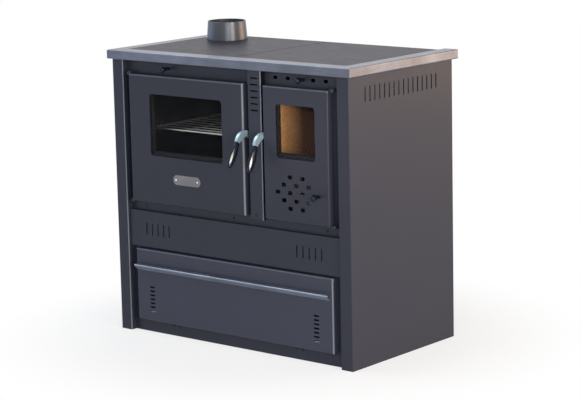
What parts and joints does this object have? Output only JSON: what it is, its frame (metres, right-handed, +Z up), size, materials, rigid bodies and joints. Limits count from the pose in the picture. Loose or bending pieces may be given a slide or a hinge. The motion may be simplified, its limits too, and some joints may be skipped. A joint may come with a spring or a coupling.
{
  "type": "wood cookstove",
  "caption": "Sheet-metal wood-burning cookstove with glazed oven and firebox doors, flat hob with flue collar, air controls and a log drawer.",
  "frame": {"origin": "on the floor at the centre of the body's footprint", "axes": "+Z up, -Y towards the user at the doors, +X to the user's right"},
  "size_m": [0.911, 0.5822, 0.906],
  "materials": {
    "body_paint": "satin anthracite enamel",
    "dark_paint": "matte dark enamel",
    "trim_steel": "brushed",
    "hob_steel": "ground plate",
    "raw_steel": "mill finish",
    "zinc_steel": "zinc plated",
    "oven_steel": "smooth",
    "chrome": "polished",
    "nickel": "dull nickel plate",
    "blackened_steel": "semi-gloss",
    "grip_black": "glossy",
    "glass_clear": "clear ceramic glass",
    "rope": "woven",
    "vermiculite": "pressed vermiculite board",
    "iron": "cast",
    "plate_satin": "satin"
  },
  "bodies": {
    "carcass": {"side_panel_left": "body_paint", "side_panel_right": "body_paint", "back_panel": "dark_paint", "base_plate": "dark_paint", "plinth": "body_paint", "fascia_panel": "body_paint", "carcass_front": "body_paint", "centre_stile": "body_paint", "body_screws": "blackened_steel", "trim_front": "trim_steel", "trim_left": "trim_steel", "trim_right": "trim_steel", "hob_plate_left": "hob_steel", "hob_plate_right": "hob_steel", "top_frame": "dark_paint", "flue_collar": "iron", "heat_casing": "raw_steel", "hinge_brackets": "body_paint", "hinge_pins": "blackened_steel", "oven_box": "oven_steel", "oven_runners": "raw_steel", "firebox_shell": "raw_steel", "firebox_bricks": "vermiculite", "baffle_brick": "vermiculite", "grate": "iron", "log_retainer": "raw_steel", "drawer_rails": "zinc_steel"},
    "oven_door": {"oven_door_cover": "body_paint", "oven_door_liner": "dark_paint", "oven_glass": "glass_clear", "oven_glass_gasket": "rope", "oven_glass_retainer": "dark_paint", "oven_door_seal": "rope", "nameplate": "plate_satin", "nameplate_rivets": "chrome"},
    "oven_handle": {"oven_lever": "chrome", "oven_lever_grip": "grip_black", "oven_lever_inlay": "chrome", "oven_lever_pin": "zinc_steel"},
    "firebox_door": {"firebox_door_cover": "body_paint", "firebox_door_liner": "dark_paint", "firebox_glass": "glass_clear", "firebox_glass_gasket": "rope", "firebox_glass_retainer": "dark_paint", "firebox_door_seal": "rope"},
    "firebox_handle": {"firebox_lever": "chrome", "firebox_lever_grip": "grip_black", "firebox_lever_inlay": "chrome", "firebox_lever_pin": "zinc_steel"},
    "primary_air": {"air_slider": "raw_steel", "air_knob": "grip_black"},
    "secondary_air": {"header_slider": "raw_steel", "header_knob": "grip_black"},
    "damper": {"damper_slide": "raw_steel", "damper_knob": "grip_black"},
    "log_drawer": {"drawer_front": "body_paint", "drawer_box": "zinc_steel", "drawer_bar": "trim_steel"},
    "rack": {"oven_rack": "nickel"},
    "pan": {"ash_pan": "zinc_steel"}
  },
  "joints": [
    {"name": "oven_door_swing", "type": "hinge", "parent": "carcass", "child": "oven_door", "pos_m": [-0.381, -0.2365, 0.59], "axis": [0, 0, -1], "range_deg": [0, 110]},
    {"name": "firebox_door_swing", "type": "hinge", "parent": "carcass", "child": "firebox_door", "pos_m": [0.381, -0.2365, 0.59], "axis": [0, 0, 1], "range_deg": [0, 110]},
    {"name": "oven_handle_turn", "type": "hinge", "parent": "oven_door", "child": "oven_handle", "pos_m": [0.0728, -0.2415, 0.64], "axis": [-1, 0, 0], "range_deg": [-20, 60]},
    {"name": "firebox_handle_turn", "type": "hinge", "parent": "firebox_door", "child": "firebox_handle", "pos_m": [0.1364, -0.2415, 0.64], "axis": [-1, 0, 0], "range_deg": [-12, 68]},
    {"name": "primary_air_slide", "type": "slide", "parent": "firebox_door", "child": "primary_air", "axis": [1, 0, 0], "range_m": [-0.02235, 0]},
    {"name": "secondary_air_slide", "type": "slide", "parent": "carcass", "child": "secondary_air", "axis": [1, 0, 0], "range_m": [-0.0226, 0]},
    {"name": "damper_pull", "type": "slide", "parent": "carcass", "child": "damper", "axis": [0, -1, 0], "range_m": [0, 0.06]},
    {"name": "drawer_slide", "type": "slide", "parent": "carcass", "child": "log_drawer", "axis": [0, -1, 0], "range_m": [0, 0.38]},
    {"name": "oven_rack_slide", "type": "slide", "parent": "carcass", "child": "rack", "axis": [0, -1, 0], "range_m": [-0.033, 0.018]},
    {"name": "ash_pan_slide", "type": "slide", "parent": "carcass", "child": "pan", "axis": [0, -1, 0], "range_m": [-0.02, 0.006]}
  ]
}
